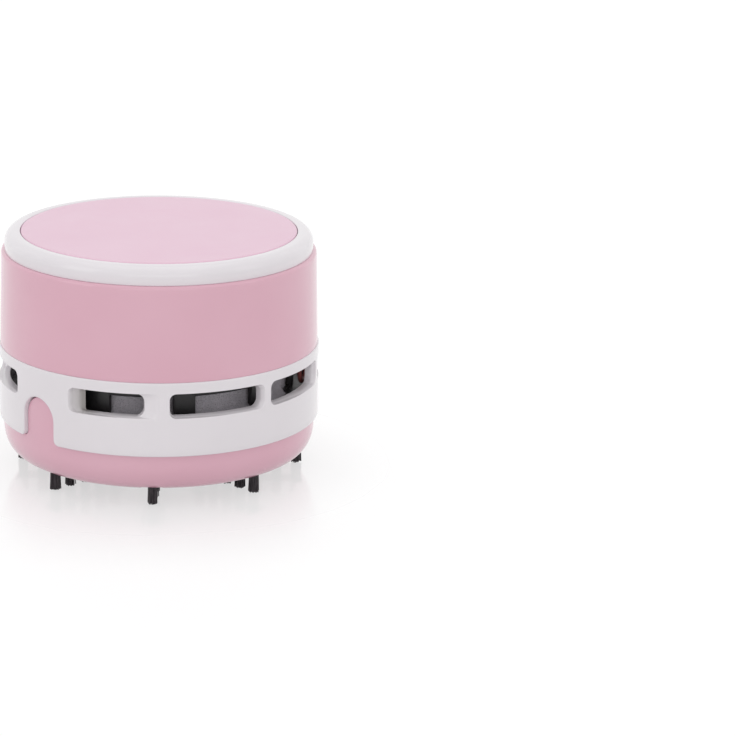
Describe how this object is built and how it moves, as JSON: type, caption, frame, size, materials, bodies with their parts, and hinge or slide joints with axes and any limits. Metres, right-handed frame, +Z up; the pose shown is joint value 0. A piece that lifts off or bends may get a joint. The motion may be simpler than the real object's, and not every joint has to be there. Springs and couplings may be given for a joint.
{
  "type": "desktop mini vacuum cleaner",
  "caption": "Round battery desktop vacuum: slotted white band, pink shell and lid over a brush-ringed dust tray that pulls off, with a fan above its suction inlet.",
  "frame": {"origin": "on the body's axis, in the plane of the bristle tips that it stands on", "axes": "+Z up along the body's axis, -Y towards the front; a tab of the tray is on the left of the front"},
  "size_m": [0.0856, 0.0856, 0.0646],
  "materials": {
    "pink_plastic": "smooth moulded gloss",
    "white_plastic": "smooth moulded gloss",
    "black_plastic": "fine moulded texture",
    "bristle": "nylon bundles",
    "grey_foam": "open-cell foam",
    "filter_cloth": "fine woven mesh",
    "motor_steel": "nickel plated",
    "strap_steel": "zinc plated",
    "screw_steel": "zinc plated",
    "shaft_steel": "ground",
    "end_cap_plastic": "moulded",
    "contact_metal": "nickel plated spring sheet",
    "terminal_brass": "tinned",
    "cell_jacket": "plain printed foil",
    "switch_plastic": "moulded",
    "knob_plastic": "smooth moulded gloss",
    "red_insulation": "soft vinyl",
    "black_insulation": "soft vinyl"
  },
  "bodies": {
    "tray": {"dust_tray": "pink_plastic", "long_brush_1": "bristle", "short_brush_1": "bristle", "long_brush_2": "bristle", "short_brush_2": "bristle", "long_brush_3": "bristle", "short_brush_3": "bristle", "long_brush_4": "bristle", "short_brush_4": "bristle"},
    "housing": {"vent_band": "white_plastic", "body_sleeve": "pink_plastic", "motor_deck": "black_plastic", "motor_can": "motor_steel", "motor_end_cap": "end_cap_plastic", "motor_terminals": "terminal_brass", "motor_strap": "strap_steel", "strap_screws": "screw_steel", "holder_screws": "screw_steel", "fan_cage": "black_plastic", "exhaust_filter": "grey_foam", "filter_frame": "black_plastic", "filter_mesh": "filter_cloth", "battery_holder": "black_plastic", "battery_left": "cell_jacket", "battery_right": "cell_jacket", "positive_contact": "contact_metal", "negative_contact": "contact_metal", "bridge_contact": "contact_metal", "switch_body": "switch_plastic", "switch_terminals": "terminal_brass", "red_lead": "red_insulation", "black_lead": "black_insulation", "switch_lead": "black_insulation"},
    "lid": {"top_ring": "white_plastic", "top_disc": "pink_plastic"},
    "rotor": {"motor_shaft": "shaft_steel", "impeller": "black_plastic"},
    "switch_slider": {"switch_knob": "knob_plastic"}
  },
  "joints": [
    {"name": "housing_lift", "type": "slide", "parent": "tray", "child": "housing", "axis": [0, 0, 1], "range_m": [0, 0.03]},
    {"name": "lid_lift", "type": "slide", "parent": "housing", "child": "lid", "axis": [0, 0, 1], "range_m": [0, 0.015]},
    {"name": "fan_spin", "type": "hinge", "parent": "housing", "child": "rotor", "pos_m": [0, 0, 0.03], "axis": [0, 0, 1], "continuous": true},
    {"name": "switch_slide", "type": "slide", "parent": "housing", "child": "switch_slider", "axis": [0, 0, 1], "range_m": [0, 0.0035]}
  ]
}
